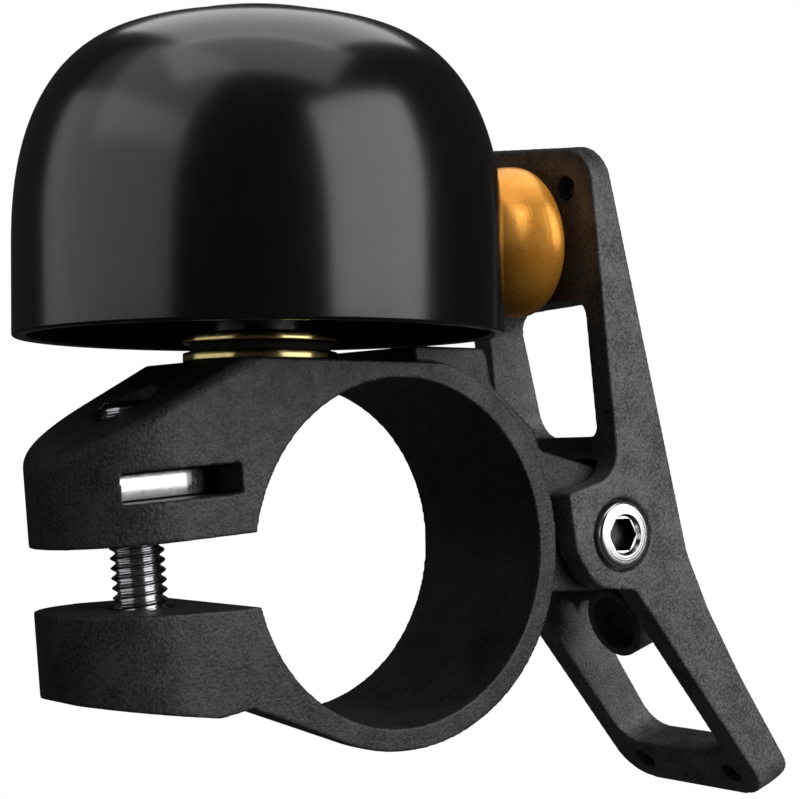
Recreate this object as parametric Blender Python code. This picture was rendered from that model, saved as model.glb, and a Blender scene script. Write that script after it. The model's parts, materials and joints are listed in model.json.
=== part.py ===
"""Bicycle bell: a metal dome on a nylon bar clamp, struck by a sprung nylon lever.

Lengths are written in millimetres and stored in metres. The shapes are drawn about the centre
of the handlebar bore, with +Y along the handlebar, +X towards the lever and +Z up. The last
step moves the whole bell so that the origin is under the middle of its bounding box.
Outlines that lie in a side view are lists of (x, z) points, or (x, z, corner radius).
"""

import math

import bmesh
import bpy
from mathutils import Matrix, Vector

MM = 0.001

# From the bore centre to the bell's own origin
ORIGIN_SHIFT = (-6.59, 0.0, 21.75)

# Handlebar clamp
BORE_R = 12.7
RING_R = 14.4
CLAMP_HALF_WIDTH = 7.42
PAD_Z = 13.95
EAR_TILT = math.radians(4.5)
EAR_TIP = 25.3
EAR_GAP_TOP = 2.78
EAR_GAP_BOTTOM = -2.35

# Clamp screw: M4, in the ears' own frame (u to the tips, v up along the screw)
SCREW_U = 17.9
THREAD_R = 1.95
SCREW_TIP_V = 12.5
SCREW_SEAT_V = -4.6
HEAD_R = 3.5
HEAD_HEIGHT = 2.8
WASHER_THICKNESS = 0.5
NUT_SIDE = 7.9
NUT_BOTTOM_V = 5.65
NUT_HEIGHT = 1.9

# Dome
DOME_X = -7.69
DOME_R = 18.02
DOME_WALL = 1.0
RIM_Z = 15.86
SHOULDER_Z = 22.2
CROWN_Z = 38.6
CROWN_FLAT_R = 6.47
SHOULDER_POWER = 2.387

# Lever and its pivot, which is parallel to the handlebar
PIVOT = (20.36, 0.71)
LEVER_HALF_WIDTH = 8.4
CHEEK_INNER = 6.15
LUG_HALF_WIDTH = 6.0
LEVER_TOP_Z = 31.95
HEAD_TILT = math.radians(16.0)
HEAD_TOP = 25.75
HEAD_TOP_SLOPE = 0.1077
FRONT_TOP_X = 17.2
FRONT_SLOPE = 0.108
DRAW_TILT = math.radians(19.0)
POCKET_FLOOR = 24.6
CUP_MOUTH = (26.75, -7.1)
CUP_R = 3.0
CUP_BORE_R = 2.3

# Striker
STRIKER_Z = 24.45
STRIKER_R = 6.1
STRIKER_TILT = math.atan(FRONT_SLOPE)
STRIKER_PLATE = 2.2

# Return spring
COIL_R = 3.0
WIRE_R = 0.35
COIL_TURNS = 3
COIL_HALF_LENGTH = 1.5

GAP = 0.05


# ---------------------------------------------------------------- basic shapes

def clear_scene():
    for obj in list(bpy.data.objects):
        bpy.data.objects.remove(obj)


def rounded(corners, steps=5):
    """Turn (a, b, radius) corners into points, with an arc in place of each corner."""
    points = []
    count = len(corners)
    for i, corner in enumerate(corners):
        here = Vector(corner[:2])
        radius = corner[2] if len(corner) > 2 else 0.0
        if radius <= 0.0:
            points.append(tuple(here))
            continue
        before = (Vector(corners[i - 1][:2]) - here).normalized()
        after = (Vector(corners[(i + 1) % count][:2]) - here).normalized()
        half = before.angle(after) / 2
        reach = radius / math.tan(half)
        centre = here + (before + after).normalized() * (radius / math.sin(half))
        start = here + before * reach - centre
        end = here + after * reach - centre
        sweep = start.angle_signed(end)
        for k in range(steps + 1):
            turn = Matrix.Rotation(-sweep * k / steps, 2)
            points.append(tuple(centre + turn @ start))
    return points


def arc(centre, radius, start_deg, end_deg, steps):
    points = []
    for k in range(steps + 1):
        a = math.radians(start_deg + (end_deg - start_deg) * k / steps)
        points.append((centre[0] + radius * math.cos(a), centre[1] + radius * math.sin(a)))
    return points


def new_object(name, mesh_builder):
    mesh = bpy.data.meshes.new(name)
    obj = bpy.data.objects.new(name, mesh)
    bpy.context.collection.objects.link(obj)
    bm = bmesh.new()
    mesh_builder(bm)
    bmesh.ops.recalc_face_normals(bm, faces=bm.faces)
    bm.to_mesh(mesh)
    bm.free()
    mesh.shade_smooth()
    mesh.set_sharp_from_angle(angle=math.radians(35))
    return obj


def slab(name, outline, low, high, place):
    """Extrude a closed outline from low to high; place(a, b, depth) gives a point in mm."""
    def build(bm):
        rings = []
        for depth in (low, high):
            rings.append([bm.verts.new(Vector(place(a, b, depth)) * MM) for a, b in outline])
        bm.faces.new(rings[0])
        bm.faces.new(list(reversed(rings[1])))
        count = len(outline)
        for i in range(count):
            j = (i + 1) % count
            bm.faces.new((rings[0][i], rings[0][j], rings[1][j], rings[1][i]))
    return new_object(name, build)


def side_view(x, z, y):
    return (x, y, z)


def end_view(y, z, x):
    return (x, y, z)


def prism(name, outline, low, high):
    """Extrude an (x, z) outline along the handlebar."""
    return slab(name, outline, low, high, side_view)


def turned(name, profile, segments=48):
    """Turn a closed (radius, height) profile about the object's own Z axis."""
    def build(bm):
        rings = []
        for radius, height in profile:
            if radius < 1e-6:
                rings.append([bm.verts.new((0, 0, height * MM))])
                continue
            ring = []
            for k in range(segments):
                a = 2 * math.pi * k / segments
                ring.append(bm.verts.new((radius * MM * math.cos(a), radius * MM * math.sin(a), height * MM)))
            rings.append(ring)
        count = len(rings)
        for i in range(count):
            bridge(bm, rings[i], rings[(i + 1) % count], segments)
    return new_object(name, build)


def bridge(bm, first, second, segments):
    if len(first) == 1 and len(second) == 1:
        return
    for k in range(segments):
        j = (k + 1) % segments
        if len(first) == 1:
            bm.faces.new((first[0], second[j], second[k]))
        elif len(second) == 1:
            bm.faces.new((first[k], first[j], second[0]))
        else:
            bm.faces.new((first[k], first[j], second[j], second[k]))


def tube(name, outer, inner, low, high, segments=48):
    return turned(name, [(outer, low), (outer, high), (inner, high), (inner, low)], segments)


def rod(name, radius, low, high, segments=48):
    return turned(name, [(0, low), (radius, low), (radius, high), (0, high)], segments)


def hexagon(name, across_flats, low, high):
    outline = arc((0, 0), across_flats / math.sqrt(3), 0, 300, 5)
    return slab(name, outline, low, high, lambda a, b, depth: (a, b, depth))


def aim(obj, point, direction):
    """Put the object's origin at a point in mm, with its Z axis along a direction."""
    obj.location = Vector(point) * MM
    obj.rotation_euler = Vector(direction).to_track_quat('Z', 'Y').to_euler()
    return obj


def combine(target, tool, operation):
    tool.hide_render = True
    tool.display_type = 'WIRE'
    modifier = target.modifiers.new(tool.name, 'BOOLEAN')
    modifier.object = tool
    modifier.operation = operation
    modifier.solver = 'EXACT'


def cut(target, *tools):
    for tool in tools:
        combine(target, tool, 'DIFFERENCE')


def join(target, *tools):
    for tool in tools:
        combine(target, tool, 'UNION')


def set_origin(obj, point):
    """Move the object's origin to a point in mm without moving its shape."""
    shift = Vector(point) * MM - obj.location
    obj.data.transform(Matrix.Translation(-shift))
    obj.location += shift


def paint(obj, colour, roughness, metallic=0.0):
    material = bpy.data.materials.new(obj.name)
    material.use_nodes = True
    shader = material.node_tree.nodes['Principled BSDF']
    shader.inputs['Base Color'].default_value = (*colour, 1.0)
    shader.inputs['Roughness'].default_value = roughness
    shader.inputs['Metallic'].default_value = metallic
    obj.data.materials.append(material)


NYLON = ((0.03, 0.03, 0.032), 0.6)
STEEL = ((0.75, 0.75, 0.77), 0.2, 1.0)
DARK_STEEL = ((0.12, 0.12, 0.13), 0.35, 1.0)
BRASS = ((0.85, 0.5, 0.16), 0.25, 1.0)
GOLD_ZINC = ((0.8, 0.65, 0.25), 0.18, 1.0)
LACQUER = ((0.008, 0.008, 0.009), 0.12)
RUBBER = ((0.015, 0.015, 0.015), 0.8)


# ---------------------------------------------------------------- frames of the ears and the lever

def ear(u, v):
    """Ear frame to side view: u runs to the ear tips, v runs up along the clamp screw."""
    c, s = math.cos(EAR_TILT), math.sin(EAR_TILT)
    return (-u * c - v * s, -u * s + v * c)


def ear_point(u, v, y=0.0):
    x, z = ear(u, v)
    return (x, y, z)


def screw_axis():
    return Vector((-math.sin(EAR_TILT), 0, math.cos(EAR_TILT)))


def ear_box(name, u_range, v_range, y_range):
    corners = [ear(u, v) for u, v in ((u_range[0], v_range[0]), (u_range[1], v_range[0]),
                                      (u_range[1], v_range[1]), (u_range[0], v_range[1]))]
    return prism(name, corners, *y_range)


def draw_frame(a, b, depth):
    """Lower window frame: a along the bar, b across the finger plate, depth along the draw."""
    c, s = math.cos(DRAW_TILT), math.sin(DRAW_TILT)
    return (depth * c - b * s, a, depth * s + b * c)


def draw_depth(x, z):
    return x * math.cos(DRAW_TILT) + z * math.sin(DRAW_TILT)


def draw_height(x, z):
    return -x * math.sin(DRAW_TILT) + z * math.cos(DRAW_TILT)


# ---------------------------------------------------------------- bracket

def clamp_outline():
    """Ring, dome pad and both ears seen along the handlebar; the bore is cut later."""
    pad_right = math.degrees(math.asin(PAD_Z / RING_R))
    web_foot = ear(5.6, -13.3)
    web_angle = math.degrees(math.atan2(web_foot[1], web_foot[0]))
    upper = [(-13.55, PAD_Z), ear(EAR_TIP, 8.94), ear(EAR_TIP, EAR_GAP_TOP), ear(10.0, EAR_GAP_TOP)]
    lower = [ear(10.0, EAR_GAP_BOTTOM - 0.15), ear(EAR_TIP, EAR_GAP_BOTTOM + 0.7), ear(EAR_TIP, -7.55),
             ear(16.3, -9.5), ear(13.8, -9.25)]
    return upper + lower + arc((0, 0), RING_R, web_angle, pad_right, 44)


def ear_plan():
    """Plan view of the clamp, which ends in a round tip about the screw."""
    tip = arc((SCREW_U, 0), CLAMP_HALF_WIDTH + 0.01, -89, 89, 20)
    side = CLAMP_HALF_WIDTH + 2.0
    return [(16.5, side), (-20.0, side), (-20.0, -side), (16.5, -side)] + tip


def web_relief():
    """Wedge that thins the flexible web under the ring towards the +Y side."""
    outline = [ear(13.9, -9.3), ear(5.6, -13.4), ear(-2.0, -16.3), ear(-2.0, -20.0), ear(13.9, -20.0)]
    rise = 1.15 / (2 * CLAMP_HALF_WIDTH)

    def place(x, z, y):
        return (x, y, z + rise * (y + CLAMP_HALF_WIDTH))
    return slab('cut_web_relief', outline, -CLAMP_HALF_WIDTH - 1.0, CLAMP_HALF_WIDTH + 1.0, place)


def lug_outline():
    """Hinge lug and the spine that ties it to the top of the ring."""
    x, z = PIVOT
    nose = arc((x, z + 0.25), 4.75, -90, 75, 14)
    root = [(13.5, 9.0), (9.3, 12.4), (8.9, 14.6), (8.4, 15.2), (2.0, 15.2), (2.3, 13.2)]
    inner = [(9.5, 9.5), (13.2, 4.0), (13.4, -3.6)]
    return nose + [(14.1, 7.4)] + root + inner


def make_bracket():
    bracket = prism('clamp_bracket', clamp_outline(), -CLAMP_HALF_WIDTH, CLAMP_HALF_WIDTH)
    plan = slab('cut_plan', ear_plan(), -25.0, 25.0, lambda u, y, v: ear_point(u, v, y))
    combine(bracket, plan, 'INTERSECT')
    cut(bracket, web_relief())
    lug = prism('add_lug', lug_outline(), -LUG_HALF_WIDTH, LUG_HALF_WIDTH)
    join(bracket, lug)
    cut(bracket, aim(rod('cut_bore', BORE_R, -30, 30, 96), (0, 0, 0), (0, 1, 0)))
    cut_screw_holes(bracket)
    cut_hinge(bracket)
    cut(bracket, aim(rod('cut_insert', 2.85, -2.0, 5.0), (DOME_X, 0, PAD_Z), (0, 0, 1)))
    paint(bracket, *NYLON)
    return bracket


def cut_screw_holes(bracket):
    axis = screw_axis()
    base = ear_point(SCREW_U, 0)
    slot = ear_box('cut_nut_slot', (13.3, 21.92), (NUT_BOTTOM_V - GAP, NUT_BOTTOM_V + NUT_HEIGHT + 0.15),
                   (-9.0, NUT_SIDE / 2 + 0.1))
    cut(bracket, slot)
    cut(bracket, aim(rod('cut_screw', 2.3, -20, 20), base, axis))
    cut(bracket, aim(rod('cut_screw_head', 3.95, -20, SCREW_SEAT_V), base, axis))


def cut_hinge(bracket):
    x, z = PIVOT
    cut(bracket, aim(rod('cut_pivot', 2.27, -10, 10), (x, 0, z), (0, 1, 0)))
    slot = [(16.2, -3.05), (18.4, -3.05), (18.4, -6.0), (27.0, -6.0), (27.0, 4.5), (16.2, 4.5)]
    cut(bracket, prism('cut_spring_slot', slot, -2.2, 2.2))


# ---------------------------------------------------------------- clamp fasteners

def make_clamp_screw():
    """M4 socket cap screw: head under the lower ear, tip showing in the upper ear."""
    seat = SCREW_SEAT_V - GAP - WASHER_THICKNESS - GAP
    profile = [(0, seat - HEAD_HEIGHT), (HEAD_R - 0.35, seat - HEAD_HEIGHT), (HEAD_R, seat - HEAD_HEIGHT + 0.35),
               (HEAD_R, seat), (THREAD_R, seat), (THREAD_R, SCREW_TIP_V - 0.5), (THREAD_R - 0.5, SCREW_TIP_V),
               (0, SCREW_TIP_V)]
    screw = aim(turned('clamp_screw', profile), ear_point(SCREW_U, 0), screw_axis())
    socket = hexagon('cut_clamp_socket', 3.0, seat - HEAD_HEIGHT - 1.0, seat - HEAD_HEIGHT + 2.0)
    cut(screw, aim(socket, ear_point(SCREW_U, 0), screw_axis()))
    paint(screw, *STEEL)
    return screw


def make_clamp_washer():
    top = SCREW_SEAT_V - GAP
    washer = tube('clamp_washer', 3.75, 2.15, top - WASHER_THICKNESS, top)
    paint(aim(washer, ear_point(SCREW_U, 0), screw_axis()), *STEEL)


def make_square_nut():
    half = NUT_SIDE / 2
    outline = rounded([(-half, -half, 0.4), (half, -half, 0.4), (half, half, 0.4), (-half, half, 0.4)], 2)
    nut = slab('square_nut', outline, NUT_BOTTOM_V, NUT_BOTTOM_V + NUT_HEIGHT, lambda a, b, depth: (a, b, depth))
    aim(nut, ear_point(SCREW_U, 0), screw_axis())
    cut(nut, aim(rod('cut_nut_thread', THREAD_R + GAP, 0, 12), ear_point(SCREW_U, 0), screw_axis()))
    paint(nut, *STEEL)


# ---------------------------------------------------------------- dome and its stack

def dome_curve(radius, flat_radius, crown_z, steps):
    """Side of the dome from the shoulder up to the edge of its flat crown."""
    points = []
    for k in range(steps + 1):
        a = math.pi / 2 * k / steps
        power = 2 / SHOULDER_POWER
        r = flat_radius + (radius - flat_radius) * math.cos(a) ** power if k < steps else flat_radius
        points.append((r, SHOULDER_Z + (crown_z - SHOULDER_Z) * math.sin(a) ** power))
    return points


def make_dome():
    outside = [(DOME_R, RIM_Z)] + dome_curve(DOME_R, CROWN_FLAT_R, CROWN_Z, 14)
    inside = [(DOME_R - DOME_WALL, RIM_Z)]
    inside += dome_curve(DOME_R - DOME_WALL, CROWN_FLAT_R, CROWN_Z - DOME_WALL, 12)
    hole = 2.2
    profile = outside + [(hole, CROWN_Z), (hole, CROWN_Z - DOME_WALL)] + inside[::-1]
    dome = turned('bell_dome', profile, 72)
    paint(aim(dome, (DOME_X, 0, 0), (0, 0, 1)), *LACQUER)


def make_dome_screw():
    """M4 screw with a wide, low head that covers the middle of the crown."""
    seat = CROWN_Z + 0.25
    head_r = 6.3
    profile = [(0, 11.95), (1.55, 11.95), (1.95, 12.3), (1.95, seat), (head_r - 0.1, seat), (head_r, seat + 0.1),
               (head_r - 0.25, seat + 0.42), (4.4, seat + 0.75), (0, seat + 0.85)]
    screw = aim(turned('dome_screw', profile), (DOME_X, 0, 0), (0, 0, 1))
    socket = hexagon('cut_dome_socket', 2.5, seat - 0.35, seat + 2.0)
    cut(screw, aim(socket, (DOME_X, 0, 0), (0, 0, 1)))
    paint(screw, *LACQUER)


def make_stack():
    """Pieces threaded on the dome screw, from the crown down to the bracket."""
    pieces = (
        ('crown_washer', 5.9, 2.1, CROWN_Z + GAP, CROWN_Z + 0.2, RUBBER),
        ('dome_spacer', 3.7, 2.1, 16.05, CROWN_Z - DOME_WALL - GAP, DARK_STEEL),
        ('upper_washer', 5.7, 2.1, 15.35, 16.0, GOLD_ZINC),
        ('damping_washer', 5.2, 2.1, 14.75, 15.3, RUBBER),
    )
    for name, outer, inner, low, high, finish in pieces:
        paint(aim(tube(name, outer, inner, low, high), (DOME_X, 0, 0), (0, 0, 1)), *finish)
    flange = [(2.0, PAD_Z - 1.85), (2.8, PAD_Z - 1.85), (2.8, PAD_Z + GAP), (5.7, PAD_Z + GAP),
              (5.7, 14.7), (2.0, 14.7)]
    paint(aim(turned('flanged_insert', flange), (DOME_X, 0, 0), (0, 0, 1)), *GOLD_ZINC)


# ---------------------------------------------------------------- lever

def lever_outline():
    """Lever seen along the handlebar: head at the top, hub at the pivot, finger plate below."""
    back = [(18.35, 33.6), (27.35, -0.9, 5.0), (29.6, -5.5, 12.0), (33.1, -11.1, 20.0), (39.1, -19.6)]
    front = [(36.65, -21.75), (21.65, -3.68, 1.0), (17.6, -3.4, 3.0), (15.7, -0.7, 2.5), (14.85, 4.0, 0.4)]
    neck = [(front_face_x(5.37), 5.37, 2.6), (front_face_x(33.6), 33.6)]
    return rounded(back + front + neck)


def head_frame(a, b, depth):
    """Head frame: a along the bar, b up the head, depth square to the back of the lever."""
    c, s = math.cos(HEAD_TILT), math.sin(HEAD_TILT)
    return (depth * c - b * s, a, depth * s + b * c)


def head_plan():
    """Outline of the head: a top edge that rises a little towards +Y, and two round corners."""
    lean = math.atan(HEAD_TOP_SLOPE)
    lean_deg = math.degrees(lean)
    corners = []
    for side, radius in ((1, 3.4), (-1, 2.8)):
        y = side * (LEVER_HALF_WIDTH - radius)
        b = HEAD_TOP + HEAD_TOP_SLOPE * y - radius / math.cos(lean)
        corners.append(((y, b), radius))
    (far, far_r), (near, near_r) = corners
    side = LEVER_HALF_WIDTH + 1.6
    upper = arc(far, far_r + 0.03, 0, 90 + lean_deg, 8) + arc(near, near_r + 0.03, 90 + lean_deg, 180, 8)
    return [(side, far[1] - 1.5)] + upper + [(-side, near[1] - 1.5), (-side, -60.0), (side, -60.0)]


def soften_tip_corners(lever, radius):
    """Round the two corners of the finger plate's end."""
    bm = bmesh.new()
    bm.from_mesh(lever.data)
    bm.normal_update()
    ends = []
    for edge in bm.edges:
        a, b = (v.co / MM for v in edge.verts)
        across = abs(a.y - b.y) < 0.01 and abs(abs(a.y) - LEVER_HALF_WIDTH) < 0.01
        if across and max(a.z, b.z) < -19.5 and min(a.z, b.z) < -21.6:
            ends.append(edge)
    bmesh.ops.bevel(bm, geom=ends, offset=radius * MM, offset_type='OFFSET', segments=5, profile=0.5,
                    affect='EDGES')
    bm.to_mesh(lever.data)
    bm.free()


def window_outline(low, high, radius):
    half = CHEEK_INNER
    return rounded([(-half, low, radius), (half, low, radius), (half, high, radius), (-half, high, radius)], 4)


def make_lever():
    lever = prism('lever', lever_outline(), -LEVER_HALF_WIDTH, LEVER_HALF_WIDTH)
    soften_tip_corners(lever, 2.9)
    set_origin(lever, (PIVOT[0], 0, PIVOT[1]))
    combine(lever, slab('cut_head_plan', head_plan(), 5, 60, head_frame), 'INTERSECT')
    cut(lever, slab('cut_upper_window', window_outline(8.45, 19.0, 1.2), 10, 40, end_view))
    cut(lever, slab('cut_lower_window', window_outline(-28.1, -14.3, 1.5), 5, 60, draw_frame))
    pocket = window_outline(-20.0, -11.6, 1.0)
    cut(lever, slab('cut_pocket', pocket, 5, POCKET_FLOOR, draw_frame))
    hub = rounded([(10.0, -5.0), (25.35, -5.0), (25.35, 6.6, 4.0), (10.0, 6.6)], 8)
    cut(lever, prism('cut_hub', hub, -CHEEK_INNER, CHEEK_INNER))
    add_cup(lever)
    cut_fastener_holes(lever)
    cut_core_holes(lever)
    paint(lever, *NYLON)
    return lever


def add_cup(lever):
    """Open cup under the hub."""
    depth = draw_depth(*CUP_MOUTH)
    height = draw_height(*CUP_MOUTH)
    mouth = draw_frame(0, height, depth)
    draw = draw_frame(0, 0, 1)
    join(lever, aim(rod('add_cup', CUP_R, 0, 3.0, 40), mouth, draw))
    cut(lever, aim(rod('cut_cup', CUP_BORE_R, -6, 2.1, 40), mouth, draw))


def cut_fastener_holes(lever):
    x, z = PIVOT
    cut(lever, aim(rod('cut_pivot_hole', 1.53, -12, 12), (x, 0, z), (0, 1, 0)))
    cut(lever, aim(rod('cut_pivot_head', 2.95, -12, -LEVER_HALF_WIDTH + 1.2), (x, 0, z), (0, 1, 0)))
    cut(lever, aim(hexagon('cut_pivot_nut', 5.7, LEVER_HALF_WIDTH - 1.3, 14), (x, 0, z), (0, 1, 0)))
    cut(lever, aim(rod('cut_striker_hole', 1.6, -8, 8), striker_seat(), striker_axis()))
    cut(lever, aim(rod('cut_striker_spotface', 3.05, -9, -STRIKER_PLATE), striker_seat(), striker_axis()))


def cut_core_holes(lever):
    """Small moulding holes in the head and in the finger plate."""
    draw = draw_frame(0, 0, 1)
    for y in (-5.4, 5.4):
        cut(lever, aim(rod('cut_head_core', 0.75, -3, 1.6, 16), (17.5, y, 28.2), (1, 0, 0)))
        cut(lever, aim(rod('cut_tip_core', 0.8, -3, 1.6, 16), (35.1, y, -19.85), draw))


# ---------------------------------------------------------------- striker, pivot and spring

def front_face_x(z):
    """Front face of the lever's upper plate at a height."""
    return FRONT_TOP_X + (LEVER_TOP_Z - z) * FRONT_SLOPE


def striker_axis():
    """Points from the lever towards the dome."""
    return Vector((-math.cos(STRIKER_TILT), 0, -math.sin(STRIKER_TILT)))


def striker_seat():
    return (front_face_x(STRIKER_Z), 0.0, STRIKER_Z)


def make_striker():
    """Turned brass striker: foot, flat rim band and a domed face."""
    rim_low, rim_high, apex = 1.15, 2.35, 6.7
    rise = apex - rim_high
    ball = (STRIKER_R ** 2 + rise ** 2) / (2 * rise)
    half_angle = math.degrees(math.asin(STRIKER_R / ball))
    face = arc((0, apex - ball), ball, 90 - half_angle, 90, 9)
    hole = [(0, 4.2), (1.55, 3.8), (1.55, GAP)]
    profile = hole + [(3.4, GAP), (3.4, rim_low), (STRIKER_R - 0.2, rim_low), (STRIKER_R, rim_low + 0.2)] + face
    striker = aim(turned('striker', profile), striker_seat(), striker_axis())
    paint(striker, *BRASS)
    return striker


def make_striker_screw():
    """M3 button screw from the back of the lever into the striker."""
    plate = STRIKER_PLATE
    head_r = 2.85
    profile = [(0, -plate - 1.65), (1.5, -plate - 1.6), (2.4, -plate - 1.1), (head_r, -plate - 0.35),
               (head_r, -plate - GAP), (1.48, -plate - GAP), (1.48, 3.2), (1.2, 3.5), (0, 3.5)]
    screw = aim(turned('striker_screw', profile, 32), striker_seat(), striker_axis())
    cut(screw, aim(hexagon('cut_striker_socket', 2.0, -plate - 4.0, -plate - 0.7), striker_seat(), striker_axis()))
    paint(screw, *DARK_STEEL)
    return screw


def make_pivot_screw():
    x, z = PIVOT
    low = -LEVER_HALF_WIDTH + 1.2 - GAP
    profile = [(0, low - 1.55), (2.45, low - 1.55), (2.75, low - 1.25), (2.75, low), (1.48, low), (1.48, 8.5),
               (1.2, 8.8), (0, 8.8)]
    screw = aim(turned('pivot_screw', list(profile)), (x, 0, z), (0, 1, 0))
    cut(screw, aim(hexagon('cut_pivot_socket', 2.5, low - 3.0, low - 0.4), (x, 0, z), (0, 1, 0)))
    paint(screw, *STEEL)
    return screw


def make_pivot_nut():
    x, z = PIVOT
    low = LEVER_HALF_WIDTH - 1.3 + GAP
    nut = aim(hexagon('pivot_nut', 5.5, low, low + 1.8), (x, 0, z), (0, 1, 0))
    cut(nut, aim(rod('cut_pivot_nut_thread', 1.53, 5, 12, 32), (x, 0, z), (0, 1, 0)))
    paint(nut, *STEEL)
    return nut


def make_pivot_sleeve():
    x, z = PIVOT
    sleeve = aim(tube('pivot_sleeve', 2.22, 1.53, -6.08, 6.08), (x, 0, z), (0, 1, 0))
    paint(sleeve, *GOLD_ZINC)


def spring_leg():
    """Long leg of the spring, from the coil to its end against the hub's rear wall, in side view."""
    end = Vector((24.6, -3.3))
    pivot = Vector(PIVOT)
    reach = end - pivot
    angle = math.atan2(reach.y, reach.x) - math.acos(COIL_R / reach.length)
    start = pivot + COIL_R * Vector((math.cos(angle), math.sin(angle)))
    return start, end


def spring_path():
    """Centre line of the wire: short leg, coil about the pivot, long leg."""
    pivot = Vector(PIVOT)
    start, end = spring_leg()
    first = -math.pi / 2
    last = math.atan2(start.y - pivot.y, start.x - pivot.x)
    sweep = 2 * math.pi * COIL_TURNS + (last - first) % (2 * math.pi)
    steps = 18 * COIL_TURNS + 16
    path = [Vector((17.3, -COIL_HALF_LENGTH, PIVOT[1] - COIL_R))]
    for k in range(steps + 1):
        a = first + sweep * k / steps
        y = -COIL_HALF_LENGTH + 2 * COIL_HALF_LENGTH * k / steps
        path.append(Vector((pivot.x + COIL_R * math.cos(a), y, pivot.y + COIL_R * math.sin(a))))
    path.append(Vector((end.x, COIL_HALF_LENGTH, end.y)))
    return path


def make_return_spring():
    curve = bpy.data.curves.new('return_spring', 'CURVE')
    curve.dimensions = '3D'
    curve.bevel_depth = WIRE_R * MM
    curve.bevel_resolution = 1
    curve.use_fill_caps = True
    path = spring_path()
    spline = curve.splines.new('POLY')
    spline.points.add(len(path) - 1)
    origin = Vector((PIVOT[0], 0, PIVOT[1]))
    for point, place in zip(spline.points, path):
        point.co = (*((place - origin) * MM), 1.0)
    spring = bpy.data.objects.new('return_spring', curve)
    bpy.context.collection.objects.link(spring)
    spring.location = origin * MM
    paint(spring, *DARK_STEEL)
    return spring


# ---------------------------------------------------------------- assembly

def hang(pieces, empty):
    for piece in pieces:
        piece.parent = empty
        piece.location = piece.location - empty.location


def make_lever_group():
    axis = bpy.data.objects.new('lever_axis', None)
    axis.location = Vector((PIVOT[0], 0, PIVOT[1])) * MM
    bpy.context.collection.objects.link(axis)
    pieces = (make_lever(), make_striker(), make_striker_screw(), make_pivot_screw(), make_pivot_nut(),
              make_return_spring())
    hang(pieces, axis)


def move_to_origin():
    """Shift every free object, so the cutters stay in step with the pieces they cut."""
    for obj in bpy.data.objects:
        if obj.parent is None:
            obj.location += Vector(ORIGIN_SHIFT) * MM


def main():
    clear_scene()
    make_bracket()
    make_clamp_screw()
    make_clamp_washer()
    make_square_nut()
    make_dome()
    make_dome_screw()
    make_stack()
    make_pivot_sleeve()
    make_lever_group()
    move_to_origin()


main()
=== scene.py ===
import json
import math

import bmesh
import bpy
from mathutils import Matrix, Vector

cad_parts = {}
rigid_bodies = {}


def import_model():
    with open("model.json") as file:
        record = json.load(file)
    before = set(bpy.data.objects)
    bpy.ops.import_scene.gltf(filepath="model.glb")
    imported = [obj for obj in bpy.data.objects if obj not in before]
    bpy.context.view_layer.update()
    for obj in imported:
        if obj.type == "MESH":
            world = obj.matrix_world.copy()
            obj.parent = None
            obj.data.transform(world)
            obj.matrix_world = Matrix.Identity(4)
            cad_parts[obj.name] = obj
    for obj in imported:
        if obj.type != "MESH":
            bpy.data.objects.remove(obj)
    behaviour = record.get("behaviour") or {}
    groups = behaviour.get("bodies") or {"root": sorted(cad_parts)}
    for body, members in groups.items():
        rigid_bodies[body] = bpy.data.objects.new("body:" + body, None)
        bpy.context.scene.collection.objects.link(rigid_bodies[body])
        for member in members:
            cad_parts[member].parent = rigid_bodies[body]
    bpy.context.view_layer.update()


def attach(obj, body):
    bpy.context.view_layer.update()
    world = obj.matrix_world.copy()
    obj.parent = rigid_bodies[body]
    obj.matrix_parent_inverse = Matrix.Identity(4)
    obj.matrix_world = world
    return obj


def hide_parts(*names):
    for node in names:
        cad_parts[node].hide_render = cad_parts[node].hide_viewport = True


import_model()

# Bicycle bell: finely modelled pieces that stand for the CAD nodes, in the CAD's own frame.
# The shapes below are drawn in millimetres about the centre of the bar bore, +Y along the bar.
# place() moves each one by ORIGIN_SHIFT into the frame, whose origin is under the bell's middle.

MM = 0.001
ORIGIN_SHIFT = Vector((-6.59, 0.0, 21.75))
GAP = 0.05

# Handlebar clamp; the ears have their own frame, u to their tips and v up along the screw
BORE_R = 12.7
RING_R = 14.4
HALF_WIDTH = 7.42
PAD_Z = 13.95
EAR_TILT = math.radians(4.5)
EAR_TIP = 25.3
EAR_TOP_V = 8.94
EAR_GAP_TOP = 2.78
SLOPE_START_X = -13.55

# Clamp screw, its washer and its square nut: M4
SCREW_U = 17.9
SCREW_SEAT_V = -4.6
SCREW_TIP_V = 12.5
THREAD_R = 1.95
THREAD_ROOT_R = 1.55
THREAD_PITCH = 0.7
WASHER_THICKNESS = 0.5
NUT_BOTTOM_V = 5.65
NUT_SIDE = 7.9
NUT_HEIGHT = 1.9

# Dome and the screw that holds it
DOME_X = -7.69
DOME_R = 18.02
DOME_WALL = 1.0
RIM_Z = 15.86
SHOULDER_Z = 22.2
CROWN_Z = 38.6
CROWN_FLAT_R = 6.47
SHOULDER_POWER = 2.387
BUTTON_R = 6.1

# Lever and its pivot, which is parallel to the handlebar
PIVOT_X = 20.36
PIVOT_Z = 0.71
PIVOT_DEPTH = 1.2
PIVOT_NUT_DEPTH = 1.3
LEVER_HALF = 8.4
LUG_HALF_WIDTH = 6.0
LEVER_TOP_Z = 31.95
CHEEK_INNER = 6.15
HEAD_TILT = math.radians(16.0)
HEAD_TOP = 25.75
HEAD_TOP_SLOPE = 0.1077
FRONT_TOP_X = 17.2
FRONT_SLOPE = 0.108
DRAW_TILT = math.radians(19.0)
CUP_MOUTH = (26.75, -7.1)
POCKET_FLOOR = 24.6

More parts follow.
